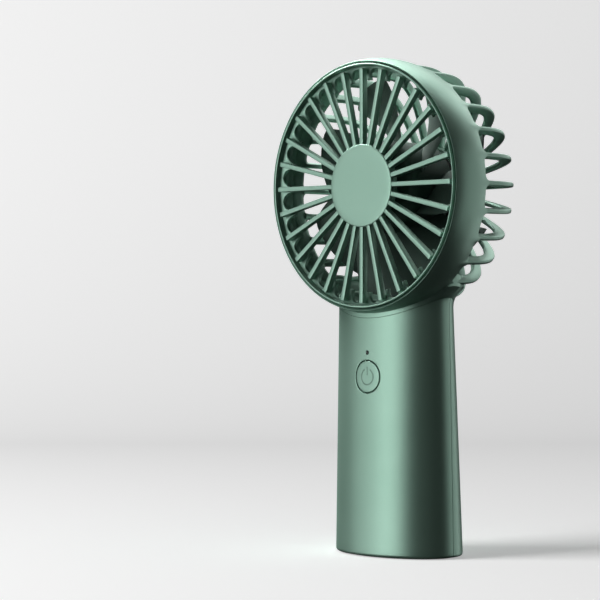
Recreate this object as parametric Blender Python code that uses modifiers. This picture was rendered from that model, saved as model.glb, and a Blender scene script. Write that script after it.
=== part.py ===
"""Handheld electric fan: a round grilled head moulded over a standing oval handle.

The handle stands on Z = 0 with the origin at the middle of its base. The fan's axis lies
along Y, and the air leaves towards -Y. Depths are measured backwards from the front rim.
"""
import math

import bmesh
import bpy
from mathutils import Matrix, Vector

MM = 0.001

# Driving sizes
FAN_AXIS_Z = 145.6 * MM        # height of the fan's axis
RIM_Y = -22.4 * MM             # plane of the front rim
DRUM_RADIUS = 50.4 * MM        # widest part of the head
RIM_RADIUS = 47.9 * MM         # outside of the front grille's lip
DRUM_DEPTH = 17.6 * MM         # where the drum ends and the rear windows start
CAGE_DEPTH = 45.0 * MM         # back of the rear cage
RIB_COUNT = 28                 # ribs in front and loops behind share one pitch
RIB_WIDTH = 1.75 * MM
LOOP_WIDTH = 1.9 * MM
LOOP_RADII = (49.2 * MM, 45.6 * MM)     # outside and inside of a loop by the drum
LOOP_SQUARENESS = 5.2          # 2 bends the loops as an ellipse, more squares them
BASE_HALF = (28.95 * MM, 19.75 * MM)    # handle's oval at its foot
NECK_HALF = (26.9 * MM, 16.4 * MM)      # handle's oval below the drum
FOOT_Z = 0.4 * MM              # underside of the handle's shells
NECK_Z = 95.6 * MM             # height at which NECK_HALF is measured
NECK_SHIFT = -1.85 * MM        # the oval's middle moves forward as it rises
FLARE_Z = 97.6 * MM            # the oval widens into the drum above this height
FLARE_RADIUS = 9.0 * MM
WALL = 1.9 * MM
GAP = 0.3 * MM                 # clearance between pieces that touch
SEAM_DEPTH = 22.2 * MM         # parting line of the handle's two shells
COLLAR_RADIUS = 52.0 * MM      # round seam between the head's neck and the handle
BLADE_COUNT = 7
BUTTON_Z = 70.7 * MM
BUTTON_RADIUS = 6.25 * MM
LIGHT_Z = 80.2 * MM
PORT_Z = 12.1 * MM
CELL_RADIUS = 9.25 * MM
CELL_LENGTH = 65.0 * MM
CELL_FOOT_Z = 18.0 * MM
CELL_X = 9.6 * MM
CELL_DEPTH = 22.8 * MM
SCREW_X = 13.0 * MM
SCREW_HEIGHTS = (11.0 * MM, 87.5 * MM)
BOARD_DEPTH = 11.5 * MM        # front face of the control board
BOARD_SCREW_HEIGHTS = (50.5 * MM, 61.0 * MM)
MOTOR_SCREW_RADIUS = 12.0 * MM
MOTOR_SCREW_ANGLES = (30.0, 150.0, 270.0)
POLE_COUNT = 6
SHARP_ANGLE = math.radians(35.0)
IMPELLER_RADIUS = 43.6 * MM
HUB_RADIUS = 18.2 * MM
BLADE_DEPTH = 23.5 * MM        # middle of the blades
BLADE_TURN = math.radians(10.0)   # where the wheel has come to rest
BLADE_SWEEP = 0.35             # radians that a blade's tip lags behind its root
BLADE_CAMBER = 1.5 * MM
BLADE_THICKNESS = 1.3 * MM
ROOT_PITCH = math.radians(42.0)
TIP_PITCH = math.radians(22.0)
ROOT_CHORD = 22.0 * MM
TIP_CHORD = 32.0 * MM
STATOR_DEPTH = 29.0 * MM       # middle of the laminations and coils

MINT = (0.33, 0.55, 0.45)
DARK_MINT = (0.10, 0.17, 0.14)
ON_AXIS = Matrix.Translation((0.0, RIM_Y, FAN_AXIS_Z)) @ Matrix.Rotation(-math.pi / 2, 4, "X")


# Scene and material helpers

def clear_scene():
    for thing in list(bpy.data.objects):
        bpy.data.objects.remove(thing, do_unlink=True)


def new_collection(name):
    collection = bpy.data.collections.new(name)
    bpy.context.scene.collection.children.link(collection)
    return collection


def finish(name, colour, roughness, metallic=0.0):
    """Principled material of one sub-part."""
    material = bpy.data.materials.new(name)
    material.use_nodes = True
    shader = material.node_tree.nodes["Principled BSDF"]
    shader.inputs["Base Color"].default_value = (*colour, 1.0)
    shader.inputs["Roughness"].default_value = roughness
    shader.inputs["Metallic"].default_value = metallic
    return material


def place(name, mesh, material=None, matrix=None, parent=None):
    """Put a mesh into the scene as a sub-part, or as a cutter when it has no material."""
    thing = bpy.data.objects.new(name, mesh)
    (PARTS if material else CUTTERS).objects.link(thing)
    if material:
        if not mesh.materials:
            mesh.materials.append(material)
    else:
        thing.hide_render = True
        thing.display_type = "WIRE"
    thing.parent = parent
    thing.matrix_world = matrix or Matrix.Identity(4)
    return thing


def empty(name, matrix):
    thing = bpy.data.objects.new(name, None)
    thing.empty_display_size = 0.01
    PARTS.objects.link(thing)
    thing.matrix_world = matrix
    return thing


def at(x, depth, z):
    """World point from a depth behind the front rim."""
    return Vector((x, RIM_Y + depth, z))


def combine(target, other, operation):
    change = target.modifiers.new(operation.lower(), "BOOLEAN")
    change.operation = operation
    change.object = other
    change.solver = "EXACT"


def add(target, *others):
    for other in others:
        combine(target, other, "UNION")


def cut(target, *others):
    for other in others:
        combine(target, other, "DIFFERENCE")


# Shape helpers

def turned(name, profile, material=None, matrix=ON_AXIS, steps=32, parent=None):
    """Turn (radius, depth) points about the axis; they run down the outer side."""
    solid = profile[0][0] == 0.0
    edges = [(i, i + 1) for i in range(len(profile) - 1)]
    if not solid:
        edges.append((len(profile) - 1, 0))
    mesh = bpy.data.meshes.new(name)
    mesh.from_pydata([(radius, 0.0, depth) for radius, depth in profile], edges, [])
    thing = place(name, mesh, material, matrix, parent)
    screw = thing.modifiers.new("turn", "SCREW")
    screw.steps = screw.render_steps = steps
    screw.use_merge_vertices = True
    screw.merge_threshold = 0.00001
    return thing


def disc(radius, low, high):
    """Profile of a solid round bar from one depth to another."""
    return [(0.0, high), (radius, high), (radius, low), (0.0, low)]


def ring(inner, outer, low, high):
    """Profile of a tube from one depth to another."""
    return [(outer, high), (outer, low), (inner, low), (inner, high)]


def mesh_of(name, build):
    """Mesh filled by build(bm), facing outwards and smooth between its sharp edges."""
    bm = bmesh.new()
    build(bm)
    bmesh.ops.recalc_face_normals(bm, faces=bm.faces)
    mesh = bpy.data.meshes.new(name)
    bm.to_mesh(mesh)
    bm.free()
    mesh.shade_smooth()
    mesh.set_sharp_from_angle(angle=SHARP_ANGLE)
    return mesh


def box_mesh(name, size, centres=((0.0, 0.0, 0.0),)):
    """One box, or several like boxes at the given centres."""
    def build(bm):
        for centre in centres:
            matrix = Matrix.Translation(centre) @ Matrix.Diagonal((*size, 1.0))
            bmesh.ops.create_cube(bm, size=1.0, matrix=matrix)
    return mesh_of(name, build)


def rods_mesh(name, radius, length, centres, segments=16):
    """Round bars along Y, centred at the given points."""
    def build(bm):
        for centre in centres:
            matrix = Matrix.Translation(centre) @ Matrix.Rotation(math.pi / 2, 4, "X")
            bmesh.ops.create_cone(bm, cap_ends=True, segments=segments, radius1=radius,
                                  radius2=radius, depth=length, matrix=matrix)
    return mesh_of(name, build)


def rods_between(name, radius, low, high, spots, segments=16):
    """Round bars along Y from one depth to another at (x, z) spots."""
    centres = [at(x, (low + high) / 2, z) for x, z in spots]
    return rods_mesh(name, radius, high - low, centres, segments)


def flat_mesh(name, outlines, thickness):
    """Filled 2D outlines given a thickness, as a closed mesh in the outlines' plane."""
    curve = bpy.data.curves.new(name, "CURVE")
    curve.dimensions = "2D"
    curve.fill_mode = "BOTH"
    curve.extrude = thickness / 2
    for outline in outlines:
        spline = curve.splines.new("POLY")
        spline.points.add(len(outline) - 1)
        for point, (x, y) in zip(spline.points, outline):
            point.co = (x, y, 0.0, 1.0)
        spline.use_cyclic_u = True
    thing = bpy.data.objects.new(name, curve)
    CUTTERS.objects.link(thing)
    bpy.context.view_layer.update()
    shape = thing.evaluated_get(bpy.context.evaluated_depsgraph_get())
    mesh = bpy.data.meshes.new_from_object(shape)
    bpy.data.objects.remove(thing, do_unlink=True)

    def build(bm):
        bm.from_mesh(mesh)
        bmesh.ops.remove_doubles(bm, verts=bm.verts, dist=0.00001)
    return mesh_of(name, build)


def around(name, mesh, count):
    """Copies of a radial blank (radius, depth, thickness) set evenly round the axis."""
    def build(bm):
        for i in range(count):
            start = len(bm.verts)
            bm.from_mesh(mesh)
            bm.verts.ensure_lookup_table()
            turn = Matrix.Rotation(2 * math.pi * i / count, 4, "Z")
            stand = Matrix.Rotation(math.pi / 2, 4, "X")
            bmesh.ops.transform(bm, matrix=turn @ stand, verts=bm.verts[start:])
    return mesh_of(name, build)


def flare(z):
    """How far the handle's oval has widened into the drum at height z."""
    rise = min(max(z - FLARE_Z, 0.0), 0.87 * FLARE_RADIUS)
    return FLARE_RADIUS - math.sqrt(FLARE_RADIUS ** 2 - rise ** 2)


def handle_oval(z, inset=0.0, count=48):
    """Ring of points round the handle's oval section at height z."""
    t = (z - FOOT_Z) / (NECK_Z - FOOT_Z)
    half_x = BASE_HALF[0] + (NECK_HALF[0] - BASE_HALF[0]) * t + flare(z) - inset
    half_y = BASE_HALF[1] + (NECK_HALF[1] - BASE_HALF[1]) * t + flare(z) - inset
    angles = [2 * math.pi * i / count for i in range(count)]
    return [Vector((half_x * math.cos(a), NECK_SHIFT * t + half_y * math.sin(a), z))
            for a in angles]


def loft(name, rings):
    """Closed skin over a stack of rings with the same number of points."""
    def build(bm):
        rows = [[bm.verts.new(point) for point in row] for row in rings]
        for below, above in zip(rows, rows[1:]):
            for i in range(len(below)):
                j = (i + 1) % len(below)
                bm.faces.new((below[i], below[j], above[j], above[i]))
        bm.faces.new(rows[0])
        bm.faces.new(rows[-1])
    return mesh_of(name, build)


def smooth_route(points, steps=3):
    """Points read from a smooth curve through the route's own points."""
    route = []
    ends = [points[0] * 2 - points[1], *points, points[-1] * 2 - points[-2]]
    for a, b, c, d in zip(ends, ends[1:], ends[2:], ends[3:]):
        for k in range(steps):
            t = k / steps
            route.append(0.5 * (2 * b + (c - a) * t + (2 * a - 5 * b + 4 * c - d) * t ** 2
                                + (3 * b - a - 3 * c + d) * t ** 3))
    return route + [points[-1]]


def lead(name, points, material, radius=0.6 * MM):
    """Insulated wire along a smooth route."""
    curve = bpy.data.curves.new(name, "CURVE")
    curve.dimensions = "3D"
    curve.bevel_depth = radius
    curve.bevel_resolution = 2
    curve.use_fill_caps = True
    route = smooth_route(points)
    spline = curve.splines.new("POLY")
    spline.points.add(len(route) - 1)
    for spot, point in zip(spline.points, route):
        spot.co = (*point, 1.0)
    curve.materials.append(material)
    thing = bpy.data.objects.new(name, curve)
    PARTS.objects.link(thing)
    return thing


# Head

def cage_line(radius, depth, count=10):
    """(radius, depth) points of a squarish quarter oval, from the drum's wall to the middle."""
    power = LOOP_SQUARENESS
    middle = 12.0 * MM
    first = math.atan(2.5 * MM / (depth - middle))
    last = math.atan(radius / (16.4 * MM))
    points = []
    for i in range(count):
        angle = first + (last - first) * i / (count - 1)
        reach = (math.cos(angle) ** power + math.sin(angle) ** power) ** (-1 / power)
        points.append((radius * reach * math.cos(angle),
                       middle + (depth - middle) * reach * math.sin(angle)))
    return points


def millimetres(*points):
    return [(radius * MM, depth * MM) for radius, depth in points]


def neck_block():
    """Arc of the handle's oval between the drum and the collar seam."""
    heights = [z * MM for z in (88.0, 97.6, 100.0, 102.0, 103.5, 105.4, 112.0)]
    block = place("neck_block", loft("neck_block", [handle_oval(z) for z in heights]))
    arc = turned("neck_arc", millimetres((51.85, 60.0), (51.85, 0.0), (49.3, 0.0), (49.3, 14.0),
                                         (46.5, 14.5), (46.5, 60.0)), steps=72)
    combine(block, arc, "INTERSECT")
    return block


def spigot():
    """Oval wall of the neck that plugs into the handle's shells."""
    heights = [z * MM for z in (91.8, 97.6, 100.0, 102.0, 104.0)]
    wall = place("spigot", loft("spigot", [handle_oval(z, WALL + GAP) for z in heights]))
    heights[0], heights[-1] = 90.0 * MM, 105.0 * MM
    inside = [handle_oval(z, WALL + GAP + 1.5 * MM) for z in heights]
    cut(wall, place("spigot_hollow", loft("spigot_hollow", inside)))
    combine(wall, turned("spigot_end", ring(49.5 * MM, 60.0 * MM, 0.0, 60.0 * MM), steps=72),
            "INTERSECT")
    return wall


def motor_screw_spots():
    spots = []
    for angle in MOTOR_SCREW_ANGLES:
        turn = math.radians(angle)
        spots.append((MOTOR_SCREW_RADIUS * math.cos(turn),
                      FAN_AXIS_Z - MOTOR_SCREW_RADIUS * math.sin(turn)))
    return spots


def head_housing():
    """Drum, rear cage, motor seat and neck in one moulding."""
    depth = DRUM_DEPTH / MM
    drum = millimetres((49.3, depth), (50.1, 13.5), (DRUM_RADIUS / MM, 9.0), (50.2, 5.5),
                       (49.6, 2.4), (49.0, 0.9), (48.6, 0.4), (48.2, 0.4), (48.2, 8.3),
                       (46.2, 9.0), (46.2, depth))
    shell = turned("head_housing", drum, finish("housing_plastic", MINT, 0.35), steps=80)
    outer = cage_line(LOOP_RADII[0], CAGE_DEPTH)
    inner = cage_line(LOOP_RADII[1], CAGE_DEPTH - (LOOP_RADII[0] - LOOP_RADII[1]))
    blank = flat_mesh("cage_loop", [outer + inner[::-1]], LOOP_WIDTH)
    loops = place("cage_loops", around("cage_loops", blank, RIB_COUNT), matrix=ON_AXIS)
    seat = turned("motor_seat", millimetres((0.0, 45.4), (17.4, 45.4), (17.4, 39.5),
                                            (15.6, 39.5), (15.6, 42.4), (0.0, 42.4)))
    add(shell, neck_block(), spigot(), loops, seat)
    slot = box_mesh("wire_slot", (6.4 * MM, 5.0 * MM, 9.4 * MM), [at(0.0, 31.0 * MM, 95.2 * MM)])
    pilots = rods_between("motor_pilots", 1.0 * MM, 39.0 * MM, 44.4 * MM, motor_screw_spots(), 12)
    cut(shell, place("wire_slot", slot), place("motor_pilots", pilots))
    return shell


def front_grille():
    """Lipped ring with straight ribs that turn back into it, and a centre ring."""
    lip = millimetres((RIM_RADIUS / MM, 8.0), (RIM_RADIUS / MM, 0.0), (47.2, 0.0), (47.2, 3.0),
                      (45.0, 3.4), (45.0, 8.0))
    grille = turned("front_grille", lip, finish("grille_plastic", MINT, 0.35), steps=56)
    rib = millimetres((16.8, 0.3), (45.4, 0.3), (45.4, 7.4), (44.0, 7.4), (44.0, 3.6),
                      (42.6, 2.3), (16.8, 2.3))
    blank = flat_mesh("front_rib", [rib], RIB_WIDTH)
    ribs = place("front_ribs", around("front_ribs", blank, RIB_COUNT), matrix=ON_AXIS)
    centre = turned("centre_ring", ring(12.0 * MM, 18.0 * MM, 1.5 * MM, 3.8 * MM))
    add(grille, ribs, centre)
    return grille


def hub_cap():
    """Disc with a short skirt that clips into the grille's centre ring."""
    profile = millimetres((0.0, 1.2), (11.0, 1.2), (11.0, 3.4), (11.7, 3.4), (11.7, 1.2),
                          (16.0, 1.2), (16.3, 0.9), (16.3, 0.3), (15.9, 0.0), (0.0, 0.0))
    return turned("hub_cap", profile, finish("cap_plastic", MINT, 0.35), steps=40)


# Fan drive

def blade_surface(bm):
    """Twisted, cambered blades: steep at the hub and flatter at the tip."""
    root = HUB_RADIUS - 1.3 * MM
    for i in range(BLADE_COUNT):
        start = len(bm.verts)
        bmesh.ops.create_grid(bm, x_segments=4, y_segments=3, size=0.5)
        bm.verts.ensure_lookup_table()
        for vert in bm.verts[start:]:
            out, along = vert.co.x + 0.5, vert.co.y
            radius = root + (IMPELLER_RADIUS - root) * out
            pitch = ROOT_PITCH + (TIP_PITCH - ROOT_PITCH) * out
            chord = ROOT_CHORD + (TIP_CHORD - ROOT_CHORD) * out
            camber = -BLADE_CAMBER * math.cos(math.pi * along)
            angle = (BLADE_TURN + 2 * math.pi * i / BLADE_COUNT - BLADE_SWEEP * out
                     - along * chord * math.cos(pitch) / radius)
            depth = BLADE_DEPTH + along * chord * math.sin(pitch) + camber
            vert.co = (radius * math.cos(angle), radius * math.sin(angle), depth)


def impeller(axis):
    """Cup-shaped hub with a shaft boss inside and blades round it."""
    hub = millimetres((0.0, 13.0), (1.3, 13.0), (1.3, 18.0), (3.6, 18.0), (3.6, 12.6), (15.0, 12.6),
                      (15.6, 14.6), (15.6, 34.5), (HUB_RADIUS / MM, 34.5), (HUB_RADIUS / MM, 14.2),
                      (16.8, 11.8), (14.0, 10.6), (0.0, 10.0))
    wheel = turned("impeller", hub, finish("impeller_plastic", DARK_MINT, 0.4), parent=axis)
    mesh = bpy.data.meshes.new("blades")
    bm = bmesh.new()
    blade_surface(bm)
    bm.to_mesh(mesh)
    bm.free()
    blades = place("blades", mesh, matrix=ON_AXIS)
    skin = blades.modifiers.new("thickness", "SOLIDIFY")
    skin.thickness = BLADE_THICKNESS
    skin.offset = 0.0
    add(wheel, blades)
    return wheel


def rotor_pieces(axis):
    """Steel bell with its magnet ring, pressed into the hub on the shaft."""
    bell = millimetres((15.3, 34.2), (15.3, 18.4), (1.3, 18.4), (1.3, 19.4), (14.5, 19.4),
                       (14.5, 34.2))
    turned("rotor_bell", bell, finish("bell_steel", (0.5, 0.5, 0.5), 0.35, 1.0), parent=axis)
    turned("rotor_magnet", ring(12.7 * MM, 14.2 * MM, 23.5 * MM, 33.6 * MM),
           finish("magnet_black", (0.05, 0.05, 0.05), 0.6), parent=axis)
    turned("motor_shaft", disc(1.0 * MM, 13.3 * MM, 39.4 * MM),
           finish("shaft_steel", (0.6, 0.6, 0.6), 0.2, 1.0), steps=16, parent=axis)


def motor_bearings():
    """Two sintered bushes in the bearing tube."""
    bronze = finish("bush_bronze", (0.45, 0.3, 0.15), 0.5, 1.0)
    for name, low in (("bearing_front", 23.6 * MM), ("bearing_rear", 35.4 * MM)):
        turned(name, ring(1.3 * MM, 2.3 * MM, low, low + 3.8 * MM), bronze, steps=20)


def motor_base():
    """Flange with the bearing tube, screwed into the cage's seat."""
    profile = millimetres((0.0, 42.1), (15.2, 42.1), (15.2, 39.8), (3.4, 39.8), (3.4, 23.2),
                          (2.6, 23.2), (2.6, 39.9), (0.0, 39.9))
    base = turned("motor_base", profile, finish("motor_base_plastic", (0.03, 0.03, 0.03), 0.5))
    holes = rods_between("flange_holes", 1.0 * MM, 39.0 * MM, 43.0 * MM, motor_screw_spots(), 12)
    cut(base, place("flange_holes", holes))
    return base


def stator_outline():
    """Laminations: a core with poles whose shoes follow the magnet."""
    outline = []
    for i in range(POLE_COUNT):
        middle = 2 * math.pi * i / POLE_COUNT
        shoe = [(11.2, -23.0), (12.3, -23.0), (12.3, -11.5), (12.3, 0.0)]
        left = [(radius, -math.degrees(math.asin(1.0 / radius))) for radius in (5.3, 10.7)] + shoe
        right = [(radius, -angle) for radius, angle in left[-2::-1]]
        for radius, angle in left + right:
            turn = middle + math.radians(angle)
            outline.append((radius * MM * math.cos(turn), radius * MM * math.sin(turn)))
    return outline


def motor_stator():
    """Stack of laminations on the bearing tube."""
    bore = [(3.7 * MM * math.cos(2 * math.pi * i / 24), 3.7 * MM * math.sin(2 * math.pi * i / 24))
            for i in range(24)]
    mesh = flat_mesh("motor_stator", [stator_outline(), bore], 8.0 * MM)
    steel = finish("lamination_steel", (0.3, 0.3, 0.32), 0.45, 1.0)
    return place("motor_stator", mesh, steel, ON_AXIS @ Matrix.Translation((0, 0, STATOR_DEPTH)))


def windings():
    """One copper coil round each pole."""
    copper = finish("winding_copper", (0.55, 0.22, 0.08), 0.35, 1.0)
    outer = [(-5.1, -2.3), (5.1, -2.3), (5.1, 2.3), (-5.1, 2.3)]
    inner = [(-4.3, -1.3), (4.3, -1.3), (4.3, 1.3), (-4.3, 1.3)]
    outlines = [[(x * MM, y * MM) for x, y in outline] for outline in (outer, inner)]
    mesh = flat_mesh("winding", outlines, 4.4 * MM)
    for i in range(POLE_COUNT):
        turn = Matrix.Rotation(2 * math.pi * i / POLE_COUNT, 4, "Z")
        out = Matrix.Translation((8.0 * MM, 0, STATOR_DEPTH)) @ Matrix.Rotation(math.pi / 2, 4, "Y")
        place(f"winding_{i + 1}", mesh, copper, ON_AXIS @ turn @ out)


def motor_board():
    """Round driver board behind the stator."""
    turned("motor_board", ring(3.8 * MM, 9.4 * MM, 36.6 * MM, 37.8 * MM),
           finish("motor_board_green", (0.02, 0.12, 0.06), 0.4))


def axis_at(x, z):
    """Frame of a piece turned about a line along Y through (x, z)."""
    return Matrix.Translation((x, RIM_Y, z)) @ Matrix.Rotation(-math.pi / 2, 4, "X")


def motor_screws():
    steel = finish("motor_screw_steel", (0.4, 0.4, 0.4), 0.3, 1.0)
    profile = millimetres((0.0, 44.0), (0.7, 44.0), (0.7, 39.5), (1.6, 39.5), (1.6, 38.3),
                          (0.0, 38.3))
    for i, (x, z) in enumerate(motor_screw_spots()):
        turned(f"motor_screw_{i + 1}", profile, steel, axis_at(x, z), steps=12)


# Handle

def handle_form(name, inset=0.0, low=FOOT_Z, rounding=1.2 * MM):
    """Solid of the handle's oval, eased at its lower edge and flared at its top."""
    eased = 0.3 * rounding
    rings = [handle_oval(low, inset + rounding), handle_oval(low + eased, inset + eased),
             handle_oval(low + rounding, inset)]
    rings += [handle_oval(z * MM, inset) for z in (97.6, 100.0, 102.0, 104.0, 106.0)]
    return loft(name, rings)


def screw_spots():
    return [(side * SCREW_X, z) for z in SCREW_HEIGHTS for side in (-1, 1)]


def half_space(name, front):
    """Block that takes away everything on the far side of the parting line."""
    middle = SEAM_DEPTH + (49.85 if front else -49.85) * MM
    return place(name, box_mesh(name, (0.1, 0.1, 0.3), [at(0.0, middle, 0.05)]))


def trim_handle(shell, front):
    """Cuts that both shells share: the parting line, the collar seam and the foot's recess."""
    side = "front" if front else "rear"
    collar = turned(f"collar_{side}", disc(COLLAR_RADIUS + GAP / 2, -20 * MM, 70 * MM), steps=72)
    recess = [handle_oval(z, 2.6 * MM) for z in (-1.0 * MM, 1.5 * MM)]
    cut(shell, half_space(f"far_side_{side}", front), collar,
        place(f"recess_{side}", loft(f"recess_{side}", recess)))


def hollow(name, bosses):
    """Inside of the handle, with the screw bosses left standing in it."""
    space = place(name, handle_form(name, WALL, 3.4 * MM, 1.0 * MM))
    cut(space, *bosses)
    return space


def handle_front_shell():
    """Front half with the button hole, the light's pinhole and screw bosses."""
    plastic = finish("handle_front_plastic", MINT, 0.3)
    shell = place("handle_front_shell", handle_form("handle_front_shell"), plastic)
    seam = SEAM_DEPTH - GAP / 2
    bosses = rods_between("front_bosses", 2.3 * MM, -5 * MM, seam, screw_spots(), 16)
    board_spots = [(0.0, z) for z in BOARD_SCREW_HEIGHTS]
    stands = rods_between("board_stands", 2.2 * MM, -5 * MM, BOARD_DEPTH - GAP, board_spots, 16)
    cut(shell, hollow("front_hollow", [place("front_bosses", bosses),
                                       place("board_stands", stands)]))
    trim_handle(shell, True)
    holes = (("shell_pilots", 1.25, 12.5, 30.0, screw_spots(), 12),
             ("board_pilots", 1.1, 7.6, 15.0, board_spots, 12),
             ("button_hole", BUTTON_RADIUS / MM + 0.35, -5.0, 9.0, [(0.0, BUTTON_Z)], 40),
             ("light_hole", 0.8, -5.0, 9.0, [(0.0, LIGHT_Z)], 12))
    for name, radius, low, high, spots, segments in holes:
        mesh = rods_between(name, radius * MM, low * MM, high * MM, spots, segments)
        cut(shell, place(name, mesh))
    return shell


def rounded_outline(width, height, radius, steps=4):
    """Rectangle with round corners, centred on the origin."""
    outline = []
    for corner, (sx, sy) in enumerate(((1, 1), (-1, 1), (-1, -1), (1, -1))):
        for i in range(steps + 1):
            angle = math.pi / 2 * (corner + i / steps)
            outline.append((sx * (width / 2 - radius) + radius * math.cos(angle),
                            sy * (height / 2 - radius) + radius * math.sin(angle)))
    return outline


def port_frame(depth):
    """Frame of a flat piece that stands across the charging port's axis."""
    return axis_at(0.0, PORT_Z) @ Matrix.Translation((0.0, 0.0, depth))


def handle_rear_shell():
    """Rear half with sunk screw holes and the charging port's opening."""
    plastic = finish("handle_rear_plastic", MINT, 0.3)
    shell = place("handle_rear_shell", handle_form("handle_rear_shell"), plastic)
    seam = SEAM_DEPTH + GAP / 2
    bosses = rods_between("rear_bosses", 3.8 * MM, seam, 60 * MM, screw_spots())
    cut(shell, hollow("rear_hollow", [place("rear_bosses", bosses)]))
    trim_handle(shell, False)
    mouth = flat_mesh("port_mouth", [rounded_outline(9.5 * MM, 3.8 * MM, 1.6 * MM)], 12 * MM)
    through = rods_between("screw_ways", 1.4 * MM, 20 * MM, 28 * MM, screw_spots(), 12)
    sinks = rods_between("screw_sinks", 2.8 * MM, 27 * MM, 60 * MM, screw_spots())
    cut(shell, place("port_mouth", mouth, matrix=port_frame(42 * MM)),
        place("screw_ways", through), place("screw_sinks", sinks))
    return shell


def shell_screws():
    steel = finish("shell_screw_steel", (0.1, 0.1, 0.1), 0.35, 1.0)
    profile = millimetres((0.0, 29.0), (2.4, 29.0), (2.4, 27.3), (1.0, 27.3), (1.0, 13.8),
                          (0.0, 13.8))
    for i, (x, z) in enumerate(screw_spots()):
        turned(f"shell_screw_{i + 1}", profile, steel, axis_at(x, z), steps=14)


def foot_pad():
    """Thin rubber pad set into the handle's base."""
    rings = [handle_oval(z, 2.9 * MM) for z in (0.0, 1.2 * MM)]
    return place("foot_pad", loft("foot_pad", rings), finish("pad_rubber", (0.02, 0.03, 0.025), 0.8))


# Controls

def power_button(axis):
    """Button whose face follows the handle's front, held behind the wall by a flange."""
    flange = BUTTON_RADIUS / MM + 1.15
    profile = millimetres((0.0, 7.5), (flange, 7.5), (flange, 6.7), (BUTTON_RADIUS / MM, 6.7),
                          (BUTTON_RADIUS / MM, 0.0), (0.0, 0.0))
    button = turned("power_button", profile, finish("button_plastic", MINT, 0.35),
                    axis_at(0.0, BUTTON_Z), steps=40, parent=axis)
    combine(button, place("button_face", handle_form("button_face")), "INTERSECT")
    return button


def switch_pieces(axis):
    """Tactile switch on the board: a square body and the plunger in it."""
    plunger = disc(1.6 * MM, 7.8 * MM, 9.6 * MM)
    turned("switch_plunger", plunger, finish("plunger_black", (0.02, 0.02, 0.02), 0.5),
           axis_at(0.0, BUTTON_Z), steps=20, parent=axis)
    size = (6.2 * MM, 2.6 * MM, 6.2 * MM)
    body = place("switch_body", box_mesh("switch_body", size, [at(0.0, 9.9 * MM, BUTTON_Z)]),
                 finish("switch_black", (0.04, 0.04, 0.04), 0.45))
    well = rods_between("plunger_well", 2.0 * MM, 7 * MM, 10.3 * MM, [(0.0, BUTTON_Z)])
    cut(body, place("plunger_well", well))


def control_board():
    """Main board behind the button, screwed to the front shell."""
    size = (28.0 * MM, 1.2 * MM, 38.5 * MM)
    centre = at(0.0, BOARD_DEPTH + 0.6 * MM, 64.75 * MM)
    board = place("control_board", box_mesh("control_board", size, [centre]),
                  finish("control_board_green", (0.02, 0.12, 0.06), 0.4))
    spots = [(0.0, z) for z in BOARD_SCREW_HEIGHTS]
    holes = rods_between("board_holes", 1.1 * MM, 10 * MM, 14 * MM, spots, 12)
    cut(board, place("board_holes", holes))
    steel = finish("board_screw_steel", (0.4, 0.4, 0.4), 0.3, 1.0)
    profile = millimetres((0.0, 14.1), (1.7, 14.1), (1.7, 13.0), (0.8, 13.0), (0.8, 8.2),
                          (0.0, 8.2))
    for i, (x, z) in enumerate(spots):
        turned(f"board_screw_{i + 1}", profile, steel, axis_at(x, z), steps=12)


def status_light():
    """Lamp on the board and the clear rod that carries its light to the front."""
    size = (1.6 * MM, 0.6 * MM, 0.8 * MM)
    place("status_led", box_mesh("status_led", size, [at(0.0, 10.9 * MM, LIGHT_Z)]),
          finish("led_white", (0.8, 0.8, 0.7), 0.3))
    turned("light_pipe", disc(0.5 * MM, 3.95 * MM, 10.3 * MM),
           finish("pipe_clear", (0.8, 0.85, 0.85), 0.1), axis_at(0.0, LIGHT_Z), steps=12)


# Power

def battery_cells():
    """Two round cells side by side."""
    sleeve = finish("cell_sleeve", (0.03, 0.12, 0.3), 0.35)
    top = CELL_FOOT_Z + CELL_LENGTH
    profile = [(0.0, top), (2.8 * MM, top), (2.8 * MM, top - 1.0 * MM), (8.6 * MM, top - 1.0 * MM),
               (CELL_RADIUS, top - 1.7 * MM), (CELL_RADIUS, CELL_FOOT_Z), (0.0, CELL_FOOT_Z)]
    for name, x in (("battery_cell_left", -CELL_X), ("battery_cell_right", CELL_X)):
        turned(name, profile, sleeve, Matrix.Translation(at(x, CELL_DEPTH, 0.0)), steps=28)


def battery_tray():
    """Back plate with a wall at each end of the cells."""
    low, high = CELL_FOOT_Z - GAP, CELL_FOOT_Z + CELL_LENGTH + GAP
    front, face, back = 18.0 * MM, 32.4 * MM, 33.6 * MM
    wall = 1.2 * MM
    outline = [(front, low - wall), (back, low - wall), (back, high + wall), (front, high + wall),
               (front, high), (face, high), (face, low), (front, low)]
    upright = Matrix(((0, 0, 1, 0), (1, 0, 0, RIM_Y), (0, 1, 0, 0), (0, 0, 0, 1)))
    return place("battery_tray", flat_mesh("battery_tray", [outline], 17.0 * MM),
                 finish("tray_plastic", (0.03, 0.03, 0.03), 0.5), upright)


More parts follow.
